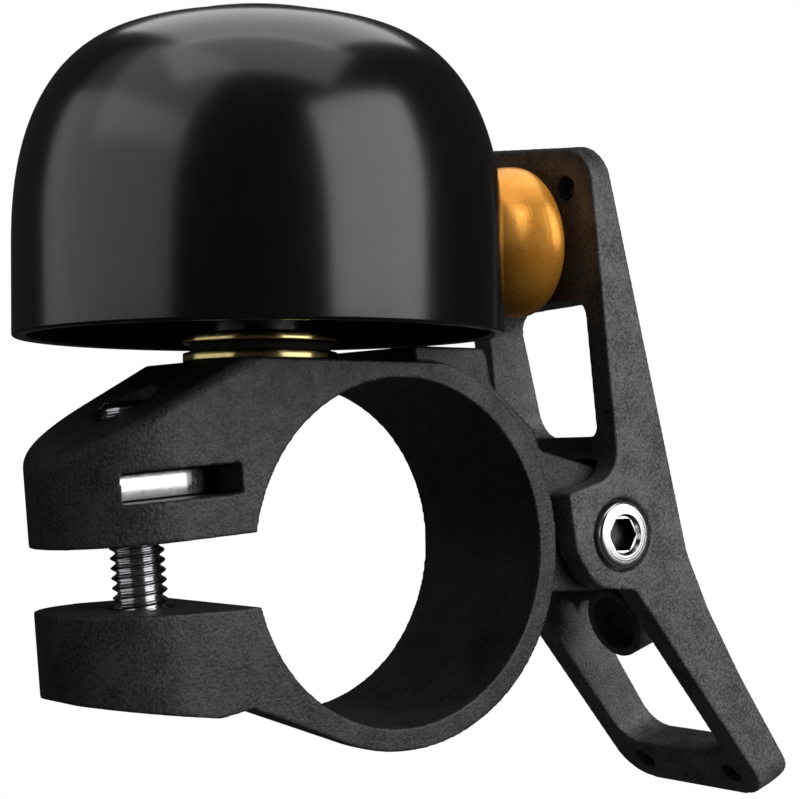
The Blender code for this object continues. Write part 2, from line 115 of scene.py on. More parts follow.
# Striker, on the front face of the lever's head
STRIKER_Z = 24.45
STRIKER_R = 6.1
STRIKER_TILT = math.atan(FRONT_SLOPE)
STRIKER_PLATE = 2.2

# How pale the nylon looks: the lever is greyer than the clamp
LEVER_TONE = 2.0
CLAMP_TONE = 0.75


# ---------------------------------------------------------------- outlines

def arc(centre, radius, start_deg, end_deg, steps):
    points = []
    for k in range(steps + 1):
        a = math.radians(start_deg + (end_deg - start_deg) * k / steps)
        points.append((centre[0] + radius * math.cos(a), centre[1] + radius * math.sin(a)))
    return points


def rounded(corners, steps=8):
    """Turn (a, b, radius) corners into points, with an arc in place of each corner."""
    points = []
    count = len(corners)
    for i, corner in enumerate(corners):
        here = Vector(corner[:2])
        radius = corner[2] if len(corner) > 2 else 0.0
        if radius <= 0.0:
            points.append(tuple(here))
            continue
        before = (Vector(corners[i - 1][:2]) - here).normalized()
        after = (Vector(corners[(i + 1) % count][:2]) - here).normalized()
        half = before.angle(after) / 2
        reach = radius / math.tan(half)
        centre = here + (before + after).normalized() * (radius / math.sin(half))
        start = here + before * reach - centre
        end = here + after * reach - centre
        sweep = start.angle_signed(end)
        for k in range(steps + 1):
            turn = Matrix.Rotation(-sweep * k / steps, 2)
            points.append(tuple(centre + turn @ start))
    return points


# ---------------------------------------------------------------- mesh building

def new_object(name, builder, sharp=35):
    mesh = bpy.data.meshes.new(name)
    obj = bpy.data.objects.new(name, mesh)
    bpy.context.scene.collection.objects.link(obj)
    bm = bmesh.new()
    builder(bm)
    bmesh.ops.recalc_face_normals(bm, faces=bm.faces)
    bm.to_mesh(mesh)
    bm.free()
    mesh.shade_smooth()
    mesh.set_sharp_from_angle(angle=math.radians(sharp))
    return obj


def slab(name, outline, low, high, to_point):
    """Extrude a closed outline; to_point(a, b, depth) gives a point in mm."""
    def build(bm):
        rings = []
        for depth in (low, high):
            rings.append([bm.verts.new(Vector(to_point(a, b, depth)) * MM) for a, b in outline])
        bm.faces.new(rings[0])
        bm.faces.new(list(reversed(rings[1])))
        count = len(outline)
        for i in range(count):
            j = (i + 1) % count
            bm.faces.new((rings[0][i], rings[0][j], rings[1][j], rings[1][i]))
    return new_object(name, build)


def prism(name, outline, low, high):
    return slab(name, outline, low, high, lambda x, z, y: (x, y, z))


def end_slab(name, outline, low, high):
    return slab(name, outline, low, high, lambda y, z, x: (x, y, z))


def flat_slab(name, outline, low, high):
    return slab(name, outline, low, high, lambda a, b, depth: (a, b, depth))


def turned(name, profile, segments=128, sharp=35):
    """Turn a closed (radius, height) profile about the object's own Z axis."""
    def build(bm):
        rings = []
        for radius, height in profile:
            if radius < 1e-6:
                rings.append([bm.verts.new((0, 0, height * MM))])
                continue
            ring = []
            for k in range(segments):
                a = 2 * math.pi * k / segments
                ring.append(bm.verts.new((radius * MM * math.cos(a), radius * MM * math.sin(a), height * MM)))
            rings.append(ring)
        for i, first in enumerate(rings):
            bridge(bm, first, rings[(i + 1) % len(rings)], segments)
    return new_object(name, build, sharp)


def bridge(bm, first, second, segments):
    if len(first) == 1 and len(second) == 1:
        return
    for k in range(segments):
        j = (k + 1) % segments
        if len(first) == 1:
            bm.faces.new((first[0], second[j], second[k]))
        elif len(second) == 1:
            bm.faces.new((first[k], first[j], second[0]))
        else:
            bm.faces.new((first[k], first[j], second[j], second[k]))


def rod(name, radius, low, high, segments=96):
    return turned(name, [(0, low), (radius, low), (radius, high), (0, high)], segments)


def hexagon(name, across_flats, low, high):
    return flat_slab(name, arc((0, 0), across_flats / math.sqrt(3), 0, 300, 5), low, high)


def washer_profile(inner, outer, low, high, edge):
    corners = [(inner, low, edge), (outer, low, edge), (outer, high, edge), (inner, high, edge)]
    return rounded(corners, 4)


def aim(obj, point, direction):
    obj.location = Vector(point) * MM
    obj.rotation_euler = Vector(direction).to_track_quat('Z', 'Y').to_euler()
    return obj


def bake(obj):
    """Apply the object's modifiers to its mesh."""
    bpy.context.view_layer.update()
    graph = bpy.context.evaluated_depsgraph_get()
    mesh = bpy.data.meshes.new_from_object(obj.evaluated_get(graph))
    obj.modifiers.clear()
    obj.data = mesh


def combine(target, tool, operation):
    modifier = target.modifiers.new('combine', 'BOOLEAN')
    modifier.object = tool
    modifier.operation = operation
    modifier.solver = 'EXACT'
    bake(target)
    bpy.data.objects.remove(tool)


def cut(target, *tools):
    for tool in tools:
        combine(target, tool, 'DIFFERENCE')


def join(target, *tools):
    for tool in tools:
        combine(target, tool, 'UNION')


def keep_inside(target, tool):
    combine(target, tool, 'INTERSECT')


def soften(obj, voxel, passes):
    """Melt the sharp edges of a moulding a little, as a mould does."""
    remesh = obj.modifiers.new('remesh', 'REMESH')
    remesh.mode = 'VOXEL'
    remesh.voxel_size = voxel * MM
    remesh.use_smooth_shade = True
    smooth = obj.modifiers.new('smooth', 'SMOOTH')
    smooth.factor = 0.5
    smooth.iterations = passes
    bake(obj)
    obj.data.shade_smooth()


def bevel_base(obj, wanted, width, steps):
    """Round the edges of a simple base shape that wanted(a, b) picks by its ends in mm."""
    bm = bmesh.new()
    bm.from_mesh(obj.data)
    bm.normal_update()
    picked = []
    for edge in bm.edges:
        a, b = (v.co / MM for v in edge.verts)
        if len(edge.link_faces) == 2 and edge.calc_face_angle() > math.radians(25) and wanted(a, b):
            picked.append(edge)
    bmesh.ops.bevel(bm, geom=picked, offset=width * MM, offset_type='OFFSET', segments=steps, profile=0.5,
                    affect='EDGES', clamp_overlap=True)
    bm.to_mesh(obj.data)
    bm.free()


# ---------------------------------------------------------------- materials

class Shader:
    """Small helper that builds a node material around one Principled shader."""

    def __init__(self, name):
        self.material = bpy.data.materials.new(name)
        self.material.use_nodes = True
        self.nodes = self.material.node_tree.nodes
        self.links = self.material.node_tree.links
        self.principled = self.nodes['Principled BSDF']
        self.coords = self.nodes.new('ShaderNodeTexCoord').outputs['Object']

    def node(self, kind, **inputs):
        made = self.nodes.new(kind)
        for key, value in inputs.items():
            self.plug(made, key.replace('_', ' '), value)
        return made

    def plug(self, node, key, value):
        socket = node.inputs[int(key)] if key.isdigit() else node.inputs[key]
        if isinstance(value, bpy.types.NodeSocket):
            self.links.new(value, socket)
        else:
            socket.default_value = value

    def noise(self, scale, detail=3.0, roughness=0.55):
        return self.node('ShaderNodeTexNoise', Vector=self.coords, Scale=scale, Detail=detail,
                         Roughness=roughness).outputs['Fac']

    def remap(self, value, low, high, out_low, out_high):
        made = self.nodes.new('ShaderNodeMapRange')
        for key, item in (('Value', value), ('From Min', low), ('From Max', high), ('To Min', out_low),
                          ('To Max', out_high)):
            self.plug(made, key, item)
        return made.outputs['Result']

    def ramp(self, value, stops):
        made = self.nodes.new('ShaderNodeValToRGB')
        elements = made.color_ramp.elements
        while len(elements) < len(stops):
            elements.new(0.5)
        for element, (position, colour) in zip(elements, stops):
            element.position = position
            element.color = (*colour, 1.0)
        self.plug(made, 'Fac', value)
        return made.outputs['Color']

    def math(self, operation, first, second=0.0):
        made = self.nodes.new('ShaderNodeMath')
        made.operation = operation
        self.plug(made, '0', first)
        self.plug(made, '1', second)
        return made.outputs['Value']

    def bump(self, height, strength, distance, normal=None):
        made = self.node('ShaderNodeBump', Height=height, Strength=strength, Distance=distance)
        if normal is not None:
            self.plug(made, 'Normal', normal)
        return made.outputs['Normal']

    def set(self, **inputs):
        for key, value in inputs.items():
            self.plug(self.principled, key.replace('_', ' '), value)
        return self.material


def nylon(name):
    """Black moulded nylon: fine spark texture, cloudy tone, and a parting line in the middle."""
    s = Shader(name)
    cloudy = s.noise(350.0)
    speckle = s.noise(5200.0, 1.0)
    tone = LEVER_TONE if 'lever' in name else CLAMP_TONE
    dark, light = 0.035 * tone, 0.135 * tone
    colour = s.ramp(s.math('ADD', s.math('MULTIPLY', cloudy, 0.4), s.math('MULTIPLY', speckle, 0.6)),
                    [(0.38, (dark, dark, dark * 1.02)), (0.62, (light, light, light * 1.02))])
    rough = s.remap(s.noise(900.0, 4.0), 0.3, 0.7, 0.38, 0.52)
    grain = s.bump(s.noise(4200.0, 2.5), 0.85, 0.00006)
    split = s.nodes.new('ShaderNodeSeparateXYZ')
    s.plug(split, '0', s.coords)
    off_centre = s.math('ABSOLUTE', split.outputs['Y'])
    line = s.remap(off_centre, 0.00004, 0.00011, 0.0, 1.0)
    normal = s.bump(line, 0.6, 0.00006, grain)
    return s.set(Base_Color=colour, Roughness=rough, Normal=normal, IOR=1.52)


def lacquer(name):
    """Gloss black paint with a clear coat and a trace of orange peel."""
    s = Shader(name)
    colour = s.ramp(s.noise(60.0), [(0.3, (0.0035, 0.0035, 0.004)), (0.7, (0.0055, 0.0055, 0.006))])
    rough = s.remap(s.noise(420.0, 5.0), 0.3, 0.7, 0.19, 0.24)
    peel = s.bump(s.noise(1400.0, 1.0), 0.08, 0.00002)
    return s.set(Base_Color=colour, Roughness=rough, Normal=peel, Coat_Weight=0.6, Coat_Roughness=0.16,
                 Coat_IOR=1.5)


def matt_black(name):
    """Unpolished paint inside the dome."""
    s = Shader(name)
    colour = s.ramp(s.noise(300.0), [(0.3, (0.002, 0.002, 0.002)), (0.7, (0.004, 0.004, 0.004))])
    return s.set(Base_Color=colour, Roughness=0.8, Normal=s.bump(s.noise(3000.0), 0.3, 0.00001), IOR=1.3)


def turned_metal(name, dark, light, rough_low, rough_high, ring_scale=1500.0, depth=0.000004):
    """Bright metal with fine lathe rings about the piece's own axis."""
    s = Shader(name)
    colour = s.ramp(s.noise(500.0, 4.0), [(0.3, dark), (0.7, light)])
    rough = s.remap(s.noise(1500.0, 4.0), 0.3, 0.7, rough_low, rough_high)
    wave = s.nodes.new('ShaderNodeTexWave')
    wave.wave_type = 'RINGS'
    wave.rings_direction = 'Z'
    for key, value in (('Vector', s.coords), ('Scale', ring_scale), ('Distortion', 1.5), ('Detail', 2.0)):
        s.plug(wave, key, value)
    rings = s.bump(wave.outputs['Fac'], 0.35, depth)
    normal = s.bump(s.noise(2500.0, 3.0), 0.12, 0.00001, rings)
    return s.set(Base_Color=colour, Roughness=rough, Metallic=1.0, Normal=normal)


def rubber(name):
    s = Shader(name)
    colour = s.ramp(s.noise(800.0), [(0.3, (0.010, 0.010, 0.010)), (0.7, (0.02, 0.02, 0.02))])
    rough = s.remap(s.noise(2500.0), 0.3, 0.7, 0.65, 0.85)
    return s.set(Base_Color=colour, Roughness=rough, Normal=s.bump(s.noise(5000.0), 0.4, 0.00002))


def steel(name):
    return turned_metal(name, (0.62, 0.62, 0.63), (0.8, 0.8, 0.82), 0.12, 0.24)


def dark_steel(name):
    return turned_metal(name, (0.05, 0.05, 0.055), (0.1, 0.1, 0.11), 0.25, 0.4)


def brass(name):
    """Brass, half metallic so that the plain studio light keeps its orange."""
    look = turned_metal(name, (0.95, 0.36, 0.035), (1.0, 0.46, 0.07), 0.24, 0.36, 1900.0, 0.000007)
    look.node_tree.nodes['Principled BSDF'].inputs['Metallic'].default_value = 0.5
    return look


def gold_zinc(name):
    return turned_metal(name, (0.75, 0.6, 0.25), (0.88, 0.74, 0.36), 0.12, 0.25)


LOOKS = {'nylon': nylon, 'lacquered_dome': lacquer, 'steel': steel, 'dark_steel': dark_steel, 'brass': brass,
         'gold_zinc': gold_zinc, 'rubber': rubber}


def place(obj, node, body, slot):
    """Dress a piece, let it stand for its CAD node and ride on its body."""
    obj.location += ORIGIN_SHIFT * MM
    obj.data.materials.clear()
    obj.data.materials.append(LOOKS[slot](obj.name))
    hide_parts(node)
    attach(obj, body)
    return obj


# ---------------------------------------------------------------- frames

def ear(u, v):
    """Side view point (x, z) of a point in the ears' frame."""
    c, s = math.cos(EAR_TILT), math.sin(EAR_TILT)
    return (-u * c - v * s, -u * s + v * c)


def ear_coordinates(x, z):
    """The reverse of ear(): a side view point, in the ears' frame."""
    c, s = math.cos(EAR_TILT), math.sin(EAR_TILT)
    return (-(x * c + z * s), -x * s + z * c)


def ear_point(u, v, y=0.0):
    x, z = ear(u, v)
    return (x, y, z)


EAR_AXIS = Vector((-math.sin(EAR_TILT), 0, math.cos(EAR_TILT)))
SCREW_BASE = ear_point(SCREW_U, 0)


def draw_frame(a, b, depth):
    """Frame of the lower lever: a along the bar, depth in the direction that its openings run."""
    c, s = math.cos(DRAW_TILT), math.sin(DRAW_TILT)
    return (depth * c - b * s, a, depth * s + b * c)


def draw_depth(x, z):
    return x * math.cos(DRAW_TILT) + z * math.sin(DRAW_TILT)


def draw_height(x, z):
    return -x * math.sin(DRAW_TILT) + z * math.cos(DRAW_TILT)


DRAW_AXIS = draw_frame(0, 0, 1)


def front_face_x(z):
    return FRONT_TOP_X + (LEVER_TOP_Z - z) * FRONT_SLOPE


STRIKER_SEAT = (front_face_x(STRIKER_Z), 0.0, STRIKER_Z)
STRIKER_AXIS = Vector((-math.cos(STRIKER_TILT), 0, -math.sin(STRIKER_TILT)))


# ---------------------------------------------------------------- bracket

def clamp_outline():
    pad_right = math.degrees(math.asin(PAD_Z / RING_R))
    foot = ear(5.6, -13.3)
    web_angle = math.degrees(math.atan2(foot[1], foot[0]))
    upper = [(SLOPE_START_X, PAD_Z), ear(EAR_TIP, EAR_TOP_V), ear(EAR_TIP, EAR_GAP_TOP),
             ear(10.0, EAR_GAP_TOP)]
    lower = rounded([ear(10.0, -2.5), ear(EAR_TIP, -1.65), ear(EAR_TIP, -7.6) + (0.8,), ear(16.3, -9.5),
                     ear(13.8, -9.25) + (1.0,), foot], 6)
    return upper + lower[:-1] + arc((0, 0), RING_R, web_angle, pad_right, 150)


def web_relief():
    """Wedge that thins the flexible web under the ring towards the +Y side."""
    outline = [ear(13.9, -9.3), ear(5.6, -13.4), ear(-2.0, -16.3), ear(-2.0, -20.0), ear(13.9, -20.0)]
    rise = 1.15 / (2 * HALF_WIDTH)
    return slab('web_relief', outline, -9.0, 9.0, lambda x, z, y: (x, y, z + rise * (y + HALF_WIDTH)))


def lug_outline():
    nose = arc((PIVOT_X, PIVOT_Z + 0.25), 4.75, -90, 75, 40)
    root = rounded([nose[-1], (14.1, 7.4, 0.6), (13.5, 9.0, 0.6), (9.3, 12.4, 0.5), (8.9, 14.6),
                    (8.4, 15.2, 0.4), (2.0, 15.2, 0.3), (2.3, 13.2), (9.5, 9.5), (13.2, 4.0),
                    (13.4, -3.6)], 4)
    return nose + root[1:]


def make_bracket():
    bracket = prism('bracket_moulding', clamp_outline(), -HALF_WIDTH, HALF_WIDTH)
    side = HALF_WIDTH + 2.0
    plan = [(16.5, side), (-20.0, side), (-20.0, -side), (16.5, -side)]
    plan += arc((SCREW_U, 0), HALF_WIDTH + 0.01, -89, 89, 60)
    keep_inside(bracket, slab('plan', plan, -25.0, 25.0, lambda u, y, v: ear_point(u, v, y)))
    bevel_base(bracket, on_slope, 0.85, 4)
    cut(bracket, web_relief())
    join(bracket, prism('lug', lug_outline(), -LUG_HALF_WIDTH, LUG_HALF_WIDTH))
    cut(bracket, aim(rod('bore', BORE_R, -30, 30, 256), (0, 0, 0), (0, 1, 0)))
    corners = [ear(13.3, 5.6), ear(21.92, 5.6), ear(21.92, 7.7), ear(13.3, 7.7)]
    cut(bracket, prism('nut_slot', corners, -9.0, NUT_SIDE / 2 + 0.1))
    cut(bracket, aim(rod('screw_hole', 2.35, -20, 20), SCREW_BASE, EAR_AXIS))
    cut(bracket, aim(rod('screw_seat', 3.95, -20, SCREW_SEAT_V), SCREW_BASE, EAR_AXIS))
    cut(bracket, aim(rod('pivot_bore', 2.27, -10, 10), (PIVOT_X, 0, PIVOT_Z), (0, 1, 0)))
    slot = [(16.2, -3.05), (18.4, -3.05), (18.4, -6.0), (27.0, -6.0), (27.0, 4.5), (16.2, 4.5)]
    cut(bracket, prism('spring_slot', slot, -2.2, 2.2))
    cut(bracket, aim(rod('insert_bore', 2.85, -2.0, 5.0), (DOME_X, 0, PAD_Z), (0, 0, 1)))
    soften(bracket, 0.14, 5)
    place(bracket, 'clamp_bracket', 'bracket', 'nylon')


def on_slope(a, b):
    """True for the edges round the top of the sloping ear, but not for those that cross it."""
    start_u, start_v = ear_coordinates(SLOPE_START_X, PAD_Z)
    fall = (EAR_TOP_V - start_v) / (EAR_TIP - start_u)
    for point in (a, b):
        u, v = ear_coordinates(point.x, point.z)
        if u < start_u - 0.4 or abs(v - start_v - fall * (u - start_u)) > 0.12:
            return False
    return abs(abs(a.y - b.y) - 2 * HALF_WIDTH) >= 0.05


# ---------------------------------------------------------------- threads

def thread(name, major, minor, pitch, low, high, segments=48):
    """Helical V thread, trimmed to a chamfered length."""
    rows_per_turn = 8
    rows = int((high - low) / pitch * rows_per_turn) + 5 * rows_per_turn
    start = low - 2.5 * pitch

    def build(bm):
        grid = []
        for j in range(rows + 1):
            wave = abs((j % rows_per_turn) / rows_per_turn * 2 - 1)
            wave = min(max(wave * 1.35 - 0.17, 0.0), 1.0)
            radius = (minor + (major - minor) * wave) * MM
            line = []
            for i in range(segments):
                a = 2 * math.pi * i / segments
                z = (start + pitch * (j / rows_per_turn + i / segments)) * MM
                line.append(bm.verts.new((radius * math.cos(a), radius * math.sin(a), z)))
            grid.append(line)
        for j in range(rows):
            for i in range(segments):
                if i + 1 < segments:
                    bm.faces.new((grid[j][i], grid[j][i + 1], grid[j + 1][i + 1], grid[j + 1][i]))
                elif j + rows_per_turn + 1 <= rows:
                    # The last column meets the first one a turn higher up
                    k = j + rows_per_turn
                    bm.faces.new((grid[j][i], grid[k][0], grid[k + 1][0], grid[j + 1][i]))
        bmesh.ops.holes_fill(bm, edges=[e for e in bm.edges if len(e.link_faces) == 1], sides=0)
    rod_thread = new_object(name, build, 50)
    chamfer = (major - minor) * 1.1
    limit = [(0, low), (major + 0.05, low), (major + 0.05, high - chamfer), (minor - 0.05, high), (0, high)]
    keep_inside(rod_thread, turned('limit', limit, 96))
    return rod_thread


# ---------------------------------------------------------------- clamp fasteners

def make_clamp_fasteners():
    seat = SCREW_SEAT_V - GAP - WASHER_THICKNESS - GAP
    screw = thread('clamp_screw_m4', THREAD_R, THREAD_ROOT_R, THREAD_PITCH, seat - 0.4, SCREW_TIP_V)
    head = rounded([(0, seat - 2.8), (3.5, seat - 2.8, 0.35), (3.5, seat, 0.15), (0, seat)], 5)
    aim(screw, SCREW_BASE, EAR_AXIS)
    join(screw, aim(turned('head', head), SCREW_BASE, EAR_AXIS))
    cut(screw, aim(hexagon('socket', 3.0, seat - 4.0, seat - 1.3), SCREW_BASE, EAR_AXIS))
    screw.data.set_sharp_from_angle(angle=math.radians(40))
    place(screw, 'clamp_screw', 'screw', 'steel')
    top = SCREW_SEAT_V - GAP
    washer = turned('clamp_screw_washer', washer_profile(2.15, 3.75, top - WASHER_THICKNESS, top, 0.08))
    place(aim(washer, SCREW_BASE, EAR_AXIS), 'clamp_washer', 'screw_washer', 'steel')
    half = NUT_SIDE / 2
    outline = rounded([(-half, -half, 0.5), (half, -half, 0.5), (half, half, 0.5), (-half, half, 0.5)], 5)
    nut = flat_slab('square_nut_m4', outline, NUT_BOTTOM_V, NUT_BOTTOM_V + NUT_HEIGHT)
    bevel_base(nut, lambda a, b: abs(a.z - b.z) < 0.01, 0.12, 3)
    aim(nut, SCREW_BASE, EAR_AXIS)
    cut(nut, aim(rod('nut_hole', 2.0, 0, 12), SCREW_BASE, EAR_AXIS))
    nut.data.set_sharp_from_angle(angle=math.radians(40))
    place(nut, 'square_nut', 'bracket', 'steel')


# ---------------------------------------------------------------- dome and its stack

def dome_curve(radius, crown_z, steps):
    """Superelliptic shoulder from the straight side up to the flat of the crown."""
    points = []
    power = 2 / SHOULDER_POWER
    for k in range(steps + 1):
        a = math.pi / 2 * k / steps
        spread = math.cos(a) ** power if k < steps else 0.0
        points.append((CROWN_FLAT_R + (radius - CROWN_FLAT_R) * spread,
                       SHOULDER_Z + (crown_z - SHOULDER_Z) * math.sin(a) ** power))
    return points


def make_dome():
    wall = DOME_WALL
    edge = 0.22
    outer = arc((DOME_R - edge, RIM_Z + edge), edge, -90, 0, 5) + dome_curve(DOME_R, CROWN_Z, 64)
    inner = dome_curve(DOME_R - wall, CROWN_Z - wall, 48)
    inner = arc((DOME_R - wall + edge, RIM_Z + edge), edge, -90, -180, 5) + inner
    profile = outer + [(2.2, CROWN_Z), (2.2, CROWN_Z - wall)] + inner[::-1]
    dome = turned('dome_shell', profile, 256, 50)
    place(aim(dome, (DOME_X, 0, 0), (0, 0, 1)), 'bell_dome', 'bracket', 'lacquered_dome')
    dome.data.materials.append(matt_black('dome_inside'))
    for face in dome.data.polygons:
        x, y, z = face.center / MM
        outward = Vector((x, y, (z - RIM_Z) * 0.5))
        if face.normal.dot(outward) < 0 and math.hypot(x, y) < DOME_R - wall + 0.01:
            face.material_index = 1


def make_dome_screw():
    seat = CROWN_Z + 0.25
    shank = [(0, 11.95), (1.55, 11.95), (1.95, 12.35), (1.95, seat)]
    rise = 0.45
    ball = (BUTTON_R ** 2 + rise ** 2) / (2 * rise)
    half_angle = math.degrees(math.asin(BUTTON_R / ball))
    head = arc((BUTTON_R, seat + 0.2), 0.2, -90, 60, 8)
    head += arc((0, seat + 0.4 + rise - ball), ball, 90 - half_angle + 1, 89, 24)
    screw = turned('dome_button', shank + head + [(0, seat + 0.85)], 160, 50)
    aim(screw, (DOME_X, 0, 0), (0, 0, 1))
    cut(screw, aim(hexagon('socket', 2.5, seat - 0.35, seat + 2.0), (DOME_X, 0, 0), (0, 0, 1)))
    screw.data.set_sharp_from_angle(angle=math.radians(40))
    place(screw, 'dome_screw', 'bracket', 'lacquered_dome')


def make_stack():
    """Everything between the bracket's pad and the dome's crown, from its axis outwards."""
    # Node, outer radius, hole radius, lower end, upper end, material slot, edge radius
    pieces = (
        ('crown_washer', 5.9, 2.1, CROWN_Z + 0.05, CROWN_Z + 0.2, 'rubber', 0.03),
        ('dome_spacer', 3.7, 2.1, 16.05, CROWN_Z - 1.05, 'dark_steel', 0.2),
        ('upper_washer', 5.7, 2.1, 15.35, 16.0, 'gold_zinc', 0.12),
        ('damping_washer', 5.2, 2.1, 14.75, 15.3, 'rubber', 0.1),
    )
    for node, outer, inner, low, high, slot, edge in pieces:
        piece = turned(node + '_ring', washer_profile(inner, outer, low, high, edge), 128)
        place(aim(piece, (DOME_X, 0, 0), (0, 0, 1)), node, 'bracket', slot)
    flange = rounded([(2.0, PAD_Z - 1.85), (2.8, PAD_Z - 1.85, 0.2), (2.8, PAD_Z + 0.05),
                      (5.7, PAD_Z + 0.05, 0.12), (5.7, 14.7, 0.12), (2.0, 14.7)], 4)
    insert = turned('flanged_insert_ring', flange, 128)
    place(aim(insert, (DOME_X, 0, 0), (0, 0, 1)), 'flanged_insert', 'bracket', 'gold_zinc')


# ---------------------------------------------------------------- lever

def lever_outline():
    back = [(18.35, 33.6), (27.35, -0.9, 5.0), (29.6, -5.5, 12.0), (33.1, -11.1, 20.0), (39.1, -19.6, 0.9)]
    front = [(36.65, -21.75, 0.3), (21.65, -3.68, 1.0), (17.6, -3.4, 3.0), (15.7, -0.7, 2.5),
             (14.85, 4.0, 0.4)]
    neck = [(front_face_x(5.37), 5.37, 2.6), (front_face_x(33.6), 33.6)]
    return rounded(back + front + neck, 12)


def head_frame(a, b, depth):
    """Head frame: a along the bar, b up the head, depth square to the back of the lever."""
    c, s = math.cos(HEAD_TILT), math.sin(HEAD_TILT)
    return (depth * c - b * s, a, depth * s + b * c)


def head_plan():
    """Outline of the head: a top edge that rises a little towards +Y, and two round corners."""
    lean = math.atan(HEAD_TOP_SLOPE)
    lean_deg = math.degrees(lean)
    corners = []
    for side, radius in ((1, 3.4), (-1, 2.8)):
        y = side * (LEVER_HALF - radius)
        corners.append(((y, HEAD_TOP + HEAD_TOP_SLOPE * y - radius / math.cos(lean)), radius))
    (far, far_r), (near, near_r) = corners
    side = LEVER_HALF + 1.6
    upper = arc(far, far_r + 0.01, 0, 90 + lean_deg, 20) + arc(near, near_r + 0.01, 90 + lean_deg, 180, 20)
    return [(side, far[1] - 1.5)] + upper + [(-side, near[1] - 1.5), (-side, -60.0), (side, -60.0)]


def tip_cutters():
    """Corners of the finger plate, cut to a radius as seen along the draw direction."""
    low = draw_height(37.9, -20.8) - 0.25
    radius = 2.8
    tools = []
    for side in (-1, 1):
        centre = (side * (LEVER_HALF - radius), low + radius)
        curve = arc(centre, radius, 270, 270 + 90 * side, 12)
        outline = [(side * (LEVER_HALF + 2), low - 3), (centre[0], low - 3)] + curve
        outline += [(side * (LEVER_HALF + 2), centre[1])]
        tools.append(slab('tip_corner', outline, 20, 60, draw_frame))
    return tools


def window(low, far_high, near_high, radii):
    """Opening between the lever's two arms; its top may be higher on the near side, -Y."""
    half = CHEEK_INNER
    return rounded([(-half, low, radii[0]), (half, low, radii[1]), (half, far_high, radii[2]),
                    (-half, near_high, radii[3])], 8)


def make_lever():
    lever = prism('lever_moulding', lever_outline(), -LEVER_HALF, LEVER_HALF)
    keep_inside(lever, slab('head_plan', head_plan(), 5, 60, head_frame))
    cut(lever, *tip_cutters())
    bevel_base(lever, lambda a, b: True, 0.45, 3)
    cut(lever, end_slab('upper_window', window(8.45, 19.0, 19.4, (0.8, 2.0, 2.0, 1.4)), 10, 40))
    cut(lever, slab('lower_window', window(-28.1, -14.3, -14.3, (2.0, 2.0, 1.5, 1.5)), 5, 60, draw_frame))
    pocket = window(-20.0, -11.6, -11.6, (1.0, 1.0, 1.0, 1.0))
    cut(lever, slab('pocket', pocket, 5, POCKET_FLOOR, draw_frame))
    hub = rounded([(10.0, -5.0), (25.35, -5.0), (25.35, 6.6, 4.0), (10.0, 6.6)], 16)
    cut(lever, prism('hub_hollow', hub, -CHEEK_INNER, CHEEK_INNER))
    depth = draw_depth(*CUP_MOUTH)
    height = draw_height(*CUP_MOUTH)
    mouth = draw_frame(0, height, depth)
    join(lever, aim(rod('cup', 3.0, 0, 3.0), mouth, DRAW_AXIS))
    cut(lever, aim(rod('cup_bore', 2.3, -6, 2.1), mouth, DRAW_AXIS))
    pivot = (PIVOT_X, 0, PIVOT_Z)
    cut(lever, aim(rod('pivot_hole', 1.53, -12, 12), pivot, (0, 1, 0)))
    cut(lever, aim(rod('pivot_head', 2.95, -12, -LEVER_HALF + PIVOT_DEPTH), pivot, (0, 1, 0)))
    cut(lever, aim(hexagon('pivot_nut_seat', 5.7, LEVER_HALF - PIVOT_NUT_DEPTH, 14), pivot, (0, 1, 0)))
    cut(lever, aim(rod('striker_hole', 1.6, -8, 8), STRIKER_SEAT, STRIKER_AXIS))
    cut(lever, aim(rod('spotface', 3.05, -9, -STRIKER_PLATE), STRIKER_SEAT, STRIKER_AXIS))
    for y in (-5.2, 5.2):
        cut(lever, aim(rod('head_core', 0.98, -3, 1.6, 48), (17.5, y, 28.2), (1, 0, 0)))
        cut(lever, aim(rod('tip_core', 0.95, -3, 1.6, 48), (35.1, y, -19.85), DRAW_AXIS))
    soften(lever, 0.13, 4)
    place(lever, 'lever', 'lever', 'nylon')


# ---------------------------------------------------------------- striker, pivot and spring

def make_striker():
    rim_low, rim_high, apex = 1.15, 2.35, 6.7
    rise = apex - rim_high
    ball = (STRIKER_R ** 2 + rise ** 2) / (2 * rise)
    half_angle = math.degrees(math.asin(STRIKER_R / ball))
    face = arc((0, apex - ball), ball, 90 - half_angle, 90, 40)
    foot = rounded([(1.55, 0.05), (3.4, 0.05, 0.1), (3.4, rim_low, 0.2), (STRIKER_R, rim_low, 0.35),
                    (STRIKER_R, rim_high)], 6)
    profile = [(0, 4.2), (1.55, 3.8)] + foot[:-1] + face
    striker = turned('striker_brass', profile, 160, 30)
    place(aim(striker, STRIKER_SEAT, STRIKER_AXIS), 'striker', 'lever', 'brass')


def make_striker_screw():
    under = -STRIKER_PLATE - GAP
    dome = [(0, under - 1.6)] + arc((0, under + 1.3), 2.9, 270, 333, 12)
    profile = dome + [(2.85, under), (1.48, under), (1.48, 3.2), (1.2, 3.5), (0, 3.5)]
    screw = turned('striker_screw_m3', profile, 96, 30)
    aim(screw, STRIKER_SEAT, STRIKER_AXIS)
    cut(screw, aim(hexagon('socket', 2.0, under - 4.0, under - 0.65), STRIKER_SEAT, STRIKER_AXIS))
    screw.data.set_sharp_from_angle(angle=math.radians(35))
    place(screw, 'striker_screw', 'lever', 'dark_steel')


